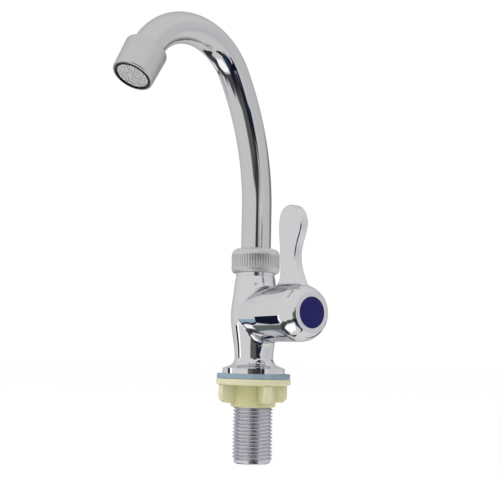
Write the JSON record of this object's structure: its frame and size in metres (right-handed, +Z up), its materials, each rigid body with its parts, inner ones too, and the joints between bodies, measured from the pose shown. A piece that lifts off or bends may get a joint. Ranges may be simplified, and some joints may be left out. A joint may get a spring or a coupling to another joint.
{
  "type": "basin tap",
  "caption": "Deck-mounted basin tap: tall swivelling gooseneck spout with aerator, quarter-turn side lever, threaded inlet shank, gasket and winged backnut.",
  "frame": {"origin": "centre of the inlet shank's axis in the deck plane, at the underside of the base gasket", "axes": "+Z up along the shank and neck, +X along the lever's axis away from the body, the user at -Y with the spout pointing over the basin towards -Y"},
  "size_m": [0.067, 0.1133, 0.2292],
  "materials": {
    "polished_chrome": "polished",
    "satin_chrome": "satin",
    "plated_shank": "satin",
    "brass": "satin",
    "stainless_steel": "satin",
    "black_rubber": "matte",
    "grey_gasket": "matte",
    "cream_plastic": "satin",
    "blue_plastic": "satin",
    "white_plastic": "satin",
    "ceramic": "satin"
  },
  "bodies": {
    "base": {"tap_body": "polished_chrome", "inlet_shank": "plated_shank", "base_gasket": "grey_gasket", "spout_nut": "satin_chrome", "neck_slip_ring": "white_plastic", "spout_retaining_ring": "white_plastic", "valve_seat_seal": "black_rubber", "fixed_disc": "ceramic", "cartridge_housing": "brass", "housing_o_ring": "black_rubber"},
    "clamp_washer": {"clamp_washer": "cream_plastic"},
    "backnut": {"backnut": "cream_plastic"},
    "spout": {"spout_tube": "polished_chrome", "spout_spigot": "brass", "spout_o_rings": "black_rubber", "outlet_adaptor": "brass", "aerator_housing": "satin_chrome", "aerator_gasket": "black_rubber", "aerator_shell": "stainless_steel", "inlet_strainer": "stainless_steel", "flow_body": "white_plastic", "outlet_screen": "stainless_steel", "mouth_ring": "black_rubber"},
    "handle": {"spindle": "brass", "moving_disc": "ceramic", "spindle_o_rings": "black_rubber", "thrust_washer": "white_plastic", "spindle_circlip": "stainless_steel", "lever_handle": "polished_chrome", "handle_screw": "stainless_steel", "index_cap": "blue_plastic"}
  },
  "joints": [
    {"name": "spout_swivel", "type": "hinge", "parent": "base", "child": "spout", "pos_m": [0, 0, 0.0623], "axis": [0, 0, 1], "continuous": true},
    {"name": "handle_turn", "type": "hinge", "parent": "base", "child": "handle", "pos_m": [0, 0, 0.0336], "axis": [1, 0, 0], "range_deg": [0, 90]},
    {"name": "washer_slide", "type": "slide", "parent": "base", "child": "clamp_washer", "axis": [0, 0, 1], "range_m": [-0.02541, 0]},
    {"name": "backnut_turn", "type": "hinge", "parent": "clamp_washer", "child": "backnut", "pos_m": [0, 0, -0.0032], "axis": [0, 0, 1], "range_deg": [-5040, 0]}
  ],
  "couplings": [
    {"joint": "washer_slide", "follows": "backnut_turn", "m_per_rad": 0.00028875}
  ]
}
